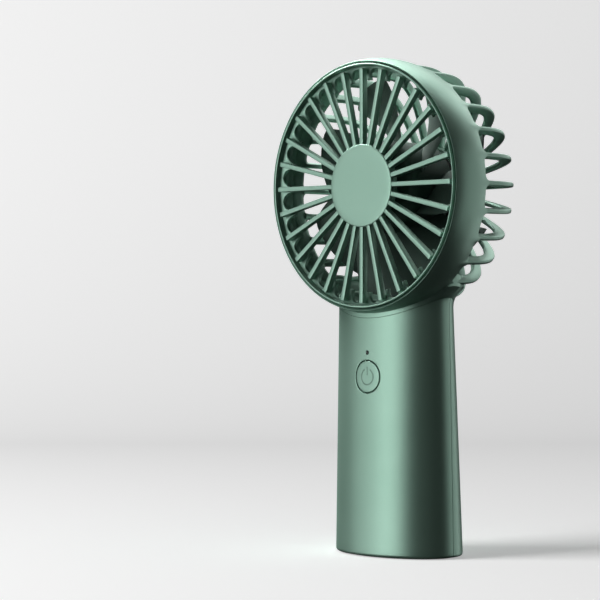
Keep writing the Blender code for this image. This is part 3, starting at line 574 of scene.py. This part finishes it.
def button():
    """Disc laid on the handle's front: rings from the middle out, over a rolled edge, straight
    in to a flange and back to the middle."""
    radius = np.concatenate([np.linspace(0, 5.6, 10), [5.95, 6.15, 6.23, 6.25, 6.25, 7.3, 7.4, 7.3, 0]])
    inwards = np.concatenate([0.12 * np.cos(np.linspace(0, 1, 10) * np.pi / 2) ** 2 + 0.02,
                              [0.05, 0.14, 0.28, 0.45, 0, 0, 0, 0, 0]])
    turn = np.arange(96) * np.pi / 48
    x, z = radius[:, None] * np.cos(turn), BUTTON_Z + radius[:, None] * np.sin(turn)
    y = oval_point(-1, z, x) + inwards[:, None]
    y[-5:] = (RIM_Y + np.array([6.7, 6.7, 7.1, 7.5, 7.5]))[:, None]
    return sheet(np.stack([x, y, z], -1))


make_piece("button_moulding", [button()], pearl("button_pearl", mark=button_mark), "button",
           ["power_button"])


# Foot pad. A thin dark rubber oval stuck into the recess under the shells; it stands a hair
# proud of them and leaves a fine dark line round the base.

def rubber(name, colour):
    """Matt rubber: cloudy colour, a fine moulded grain and a few dusty specks."""
    f = Finish(name)
    grain = f.noise(1800.0, 3.0, 0.6)
    dust = f.spread(f.noise(420.0, 4.0, 0.7), 0.62, 0.75)
    colour = f.mix(dust * 0.4, (*colour, 1.0), (*(channel * 3 for channel in colour), 1.0))
    return f.done(Base_Color=colour, Roughness=f.spread(grain, 0.3, 0.7, 0.7, 0.88),
                  Normal=f.bump(grain, 0.00008, 0.5))


def pad():
    """Oval disc with rolled edges: rings of the handle's oval set in from its outline, evenly at
    the edge and in proportion further in."""
    inset = np.array([28, 12, 4.0, 3.1, 2.92, 2.9, 2.9, 3.1, 12, 28])[:, None]
    z = np.array([0, 0, 0, 0.02, 0.12, 0.3, 1.0, 1.2, 1.2, 1.2])[:, None]
    half_x, half_y, middle = oval(z)
    turn = np.arange(128) * np.pi / 64
    x = (half_x - inset) * np.cos(turn)
    inset_y = np.where(inset > 4, inset * half_y / half_x, inset)
    y = middle + (half_y - inset_y) * np.sin(turn)
    return sheet(np.stack([x, y, z + 0 * x], -1))


make_piece("foot_moulding", [pad()], rubber("pad_rubber", (0.012, 0.018, 0.015)), "fan_body",
           ["foot_pad"])


# Lamp rod, lamp and the charging port's parts. The clear rod ends just under the pinhole, and
# its colour is darkened to paint the shade down the pinhole. The port is a plated steel tube
# with a black tongue, seen through the rear shell's opening.

def refinish(names, material):
    """Give CAD nodes that keep their shape a better finish."""
    for name in names:
        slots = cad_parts[name].data.materials
        slots.clear()
        slots.append(material)


def clear_rod_painted_shade(name):
    """Clear plastic with drawn lines along it, coloured dark to paint the shade down the pinhole."""
    f = Finish(name)
    lines = f.noise(900.0, 2.0)
    # These dark base colours are painted shade down the pinhole.
    return f.done(Base_Color=f.mix(lines, (0.05, 0.06, 0.06, 1), (0.1, 0.11, 0.11, 1)),
                  Roughness=f.spread(lines, 0.3, 0.7, 0.12, 0.3), IOR=1.49,
                  Transmission_Weight=0.6, Normal=f.bump(lines, 0.00002, 0.4))


def bare_metal(name, colour, roughness, lines=700.0, stretch=(1.0, 1.0, 1.0)):
    """Worked metal: fine lines left by the tool, with cloudy dulling and small stains."""
    f = Finish(name)
    drawn = f.add("ShaderNodeMapping", None, {"Vector": f.place, "Scale": stretch})
    marks = f.noise(lines, 4.0, 0.6, drawn)
    stain = f.spread(f.noise(160.0, 3.0), 0.5, 0.72)
    dull = tuple(channel * 0.62 for channel in colour)
    return f.done(Base_Color=f.mix(stain * 0.6, (*colour, 1), (*dull, 1)), Metallic=1.0,
                  Roughness=f.spread(marks + stain * 0.3, 0.3, 0.9, roughness, roughness + 0.2),
                  Normal=f.bump(marks, 0.00003, 0.5))


def plain_plastic(name, colour, roughness):
    """Plain moulded plastic: slight clouding, and a spark-eroded grain in its gloss."""
    f = Finish(name)
    grain = f.noise(1500.0, 3.0, 0.65)
    cloud = f.spread(f.noise(60.0, 2.0), 0.35, 0.65)
    pale = tuple(channel * 1.35 + 0.004 for channel in colour)
    return f.done(Base_Color=f.mix(cloud, (*colour, 1), (*pale, 1)),
                  Roughness=f.spread(grain, 0.3, 0.7, roughness, roughness + 0.15),
                  Normal=f.bump(grain, 0.00003, 0.5))


refinish(["light_pipe"], clear_rod_painted_shade("lamp_rod_painted_shade"))
refinish(["status_led"], plain_plastic("lamp_white", (0.62, 0.62, 0.52), 0.3))
refinish(["port_shell"], bare_metal("port_plated", (0.62, 0.62, 0.6), 0.22, 900.0, (1, 0.1, 1)))
refinish(["port_tongue"], plain_plastic("tongue_black", (0.015, 0.015, 0.016), 0.35))


# Motor and fasteners. The bell and shaft are turned steel, the magnet a dull pressed ring, the
# bushes sintered bronze, the stator stacked sheets with enamelled coils, the screws plated.

def stacked_sheets(name):
    """Thin steel sheets stacked along the shaft: their edges show as fine bands."""
    f = Finish(name)
    along = f.add("ShaderNodeSeparateXYZ", None, {0: f.place}, "Y")
    bands = (along * 12566.0).math("SINE") * 0.5 + 0.5
    rust = f.spread(f.noise(500.0, 3.0), 0.55, 0.75)
    return f.done(Base_Color=f.mix(rust * 0.5, (0.3, 0.3, 0.32, 1), (0.16, 0.12, 0.1, 1)),
                  Metallic=1.0 - rust * 0.5, Roughness=f.spread(bands, 0, 1, 0.35, 0.6),
                  Normal=f.bump(bands, 0.00005, 0.6))


def coiled_wire(name):
    """Enamelled copper: rows of turns side by side, some redder than others."""
    f = Finish(name)
    along = f.add("ShaderNodeSeparateXYZ", None, {0: f.place}, "Y")
    turns = (along * 25132.0).math("SINE") * 0.5 + 0.5
    tint = f.noise(700.0, 2.0)
    return f.done(Base_Color=f.mix(tint, (0.62, 0.2, 0.06, 1), (0.42, 0.12, 0.04, 1)), Metallic=0.9,
                  Roughness=f.spread(turns, 0, 1, 0.5, 0.25), Coat_Weight=0.6, Coat_Roughness=0.15,
                  Normal=f.bump(turns, 0.00008, 0.8))


def solder_mask(name):
    """Green circuit board: tracks as slightly raised cells under the mask, tinned pads."""
    f = Finish(name)
    cells = f.add("ShaderNodeTexVoronoi", {"distance": "CHEBYCHEV", "feature": "F1"},
                  {"Vector": f.place, "Scale": 420.0, "Randomness": 0.7}, "Distance")
    track = f.spread(cells, 0.3, 0.36)
    pad_spot = f.spread(cells, 0.08, 0.12, 1.0, 0.0)
    green = f.mix(track, (0.012, 0.09, 0.04, 1), (0.025, 0.16, 0.07, 1))
    return f.done(Base_Color=f.mix(pad_spot, green, (0.6, 0.6, 0.58, 1)), Metallic=pad_spot,
                  Roughness=f.spread(track, 0, 1, 0.35, 0.28) + pad_spot * 0.1,
                  Normal=f.bump(track + pad_spot, 0.00004, 0.7))


refinish(["rotor_bell"], bare_metal("bell_steel", (0.5, 0.5, 0.5), 0.3, 500.0, (1, 6, 1)))
refinish(["motor_shaft"], bare_metal("shaft_steel", (0.6, 0.6, 0.6), 0.15, 900.0, (1, 8, 1)))
refinish(["rotor_magnet"], plain_plastic("magnet_dull", (0.035, 0.035, 0.037), 0.55))
refinish(["bearing_front", "bearing_rear"], bare_metal("bush_bronze", (0.45, 0.29, 0.14), 0.45, 2400.0))
refinish(["motor_base"], plain_plastic("base_black", (0.02, 0.022, 0.021), 0.4))
refinish(["motor_stator"], stacked_sheets("stator_sheets"))
refinish([f"winding_{i + 1}" for i in range(6)], coiled_wire("coil_copper"))
refinish(["motor_board", "control_board", "charge_board"], solder_mask("board_green"))
refinish([f"motor_screw_{i + 1}" for i in range(3)] + ["board_screw_1", "board_screw_2"],
         bare_metal("screw_plated", (0.5, 0.5, 0.48), 0.25, 1200.0))
refinish([f"shell_screw_{i + 1}" for i in range(4)], bare_metal("screw_black", (0.09, 0.09, 0.1),
                                                                0.35, 1200.0))


# Switch, cells, tray and leads inside the handle. The cells wear a shrunk blue sleeve, and the
# leads are flexible plastic-covered wire.

def shrunk_sleeve(name):
    """Shrunk film: blue, with fine wrinkles running round the cell and a hazy gloss."""
    f = Finish(name)
    flat = f.add("ShaderNodeMapping", None, {"Vector": f.place, "Scale": (1.0, 1.0, 7.0)})
    wrinkle = f.noise(180.0, 3.0, 0.55, flat)
    return f.done(Base_Color=f.mix(f.spread(wrinkle, 0.35, 0.65), (0.02, 0.085, 0.24, 1),
                                   (0.035, 0.13, 0.33, 1)),
                  Roughness=f.spread(wrinkle, 0.3, 0.7, 0.22, 0.38), Coat_Weight=0.5,
                  Normal=f.bump(wrinkle, 0.0001, 0.5))


refinish(["switch_body", "switch_plunger"], plain_plastic("switch_black", (0.025, 0.025, 0.027), 0.4))
refinish(["battery_cell_left", "battery_cell_right"], shrunk_sleeve("cell_sleeve_blue"))
refinish(["battery_tray"], plain_plastic("tray_black", (0.02, 0.021, 0.022), 0.5))
refinish(["motor_lead_plus", "motor_lead_minus", "battery_lead_minus", "charge_lead_minus"],
         plain_plastic("lead_black", (0.012, 0.012, 0.013), 0.38))
refinish(["battery_lead_plus", "charge_lead_plus"], plain_plastic("lead_red", (0.45, 0.02, 0.018), 0.38))


# Studio. A pale sheet of paper lies under the fan and curves up behind it. It glows a little, so
# that it shades softly. Tall soft boxes stand round the fan, and one lamp lights only the paper.

YAW = np.radians(44.76)
PAPER_REACH = 8000
BEND_START, BEND, PAPER_TOP = 700, 400, 2600
UNDER_PAD = 0.05


def sweep():
    """Floor that runs back and bends up into a wall along a quarter circle."""
    bend = np.linspace(0, np.pi / 2, 24)
    run = np.concatenate([[-PAPER_REACH], BEND_START + BEND * np.sin(bend), [BEND_START + BEND]])
    rise = np.concatenate([[0.0], BEND - BEND * np.cos(bend), [PAPER_TOP]]) - UNDER_PAD
    side = np.linspace(-PAPER_REACH, PAPER_REACH, 9)
    forward = np.array([-np.sin(YAW), np.cos(YAW)])
    right = np.array([np.cos(YAW), np.sin(YAW)])
    x = run[:, None] * forward[0] + side[None] * right[0]
    y = run[:, None] * forward[1] + side[None] * right[1]
    return np.stack([x, y, rise[:, None] + 0 * x], -1)


paper = Finish("studio_paper")
fibres = paper.noise(260.0, 4.0, 0.6)
height = paper.add("ShaderNodeSeparateXYZ", None, {0: paper.place}, "Z")
glow = paper.mix(paper.spread(height, 0.0, 0.5), (0.40, 0.40, 0.40, 1), (0.52, 0.52, 0.52, 1))
paper_finish = paper.done(Base_Color=paper.mix(fibres, (0.79, 0.79, 0.79, 1), (0.81, 0.81, 0.81, 1)),
                          Roughness=0.9, Emission_Color=glow, Emission_Strength=1.0,
                          Normal=paper.bump(fibres, 0.0002, 0.2))
sweep_points = sweep() * MM
sweep_mesh = bpy.data.meshes.new("studio_sweep")
sweep_mesh.from_pydata(sweep_points.reshape(-1, 3).tolist(), [],
                       quads(*sweep_points.shape[:2], wrap_cols=False).tolist())
sweep_mesh.shade_smooth()
sweep_mesh.materials.append(paper_finish)
backdrop = bpy.data.objects.new("studio_sweep", sweep_mesh)
bpy.context.scene.collection.objects.link(backdrop)
backdrop.visible_diffuse = backdrop.visible_glossy = False

STUDIO = [("left_window", -95, 0, 0.3, 0.9, 0.99), ("left_card", -75, 0, 0.3, 0.9, 1.18),
          ("key", -60, 0, 0.3, 0.9, 1.90), ("key_edge", -46, 0, 0.3, 0.9, 1.72),
          ("right_card", 82, 0, 0.3, 0.9, 0.63), ("right_strip", 100, 0, 0.3, 0.9, 0.38),
          ("right_rear", 120, 0, 0.3, 0.9, 1.04), ("right_upper", 140, 26, 0.35, 0.35, 0.75),
          ("rear_high", 130, 48, 0.45, 0.45, 1.19), ("rear_middle", 170, 48, 0.45, 0.45, 0.97),
          ("rear_left", -140, 48, 0.45, 0.45, 24.86), ("overhead", 180, 74, 0.5, 0.5, 1.92)]


def soft_light(name, azimuth, elevation, distance, width, height, power):
    """Soft box facing the fan, at an azimuth in degrees to the right of the camera and a distance
    in metres."""
    lamp = bpy.data.lights.new(name, "AREA")
    lamp.shape, lamp.size, lamp.size_y, lamp.energy = "RECTANGLE", width, height, power
    turn, lift = YAW + np.radians(azimuth), np.radians(elevation)
    away = np.array([np.sin(turn) * np.cos(lift), -np.cos(turn) * np.cos(lift), np.sin(lift)])
    aim = np.array([0, 0, 0.1])
    light = bpy.data.objects.new(name, lamp)
    light.location = aim + away * distance
    light.rotation_euler = (np.pi / 2 - lift, 0, turn)
    bpy.context.scene.collection.objects.link(light)
    return light


not_paper = bpy.data.collections.new("all_but_paper")
not_paper.objects.link(backdrop)
not_paper.collection_objects[0].light_linking.link_state = "EXCLUDE"
only_paper = bpy.data.collections.new("paper_only")
only_paper.objects.link(backdrop)
for name, azimuth, elevation, width, tall, power in STUDIO:
    light = soft_light(name, azimuth, elevation, 0.9, width, tall, power)
    light.light_linking.receiver_collection = not_paper
soft_light("floor_light", -74, 30, 1.6, 0.9, 0.9, 27.0).light_linking.receiver_collection = only_paper

world = bpy.data.worlds.new("studio_air")
world.use_nodes = True
world.node_tree.nodes["Background"].inputs["Color"].default_value = (1, 1, 1, 1)
world.node_tree.nodes["Background"].inputs["Strength"].default_value = 0.02
bpy.context.scene.world = world
bpy.context.scene.view_settings.view_transform = "Standard"

camera = bpy.data.objects.new("camera", bpy.data.cameras.new("camera"))
camera.data.sensor_width, camera.data.lens = 36.0, 135.54
camera.location = (0.6057, -0.6667, AXIS_Z * MM - 0.0457)
camera.rotation_euler = (np.radians(90.06), 0, YAW)
bpy.context.scene.collection.objects.link(camera)
bpy.context.scene.camera = camera
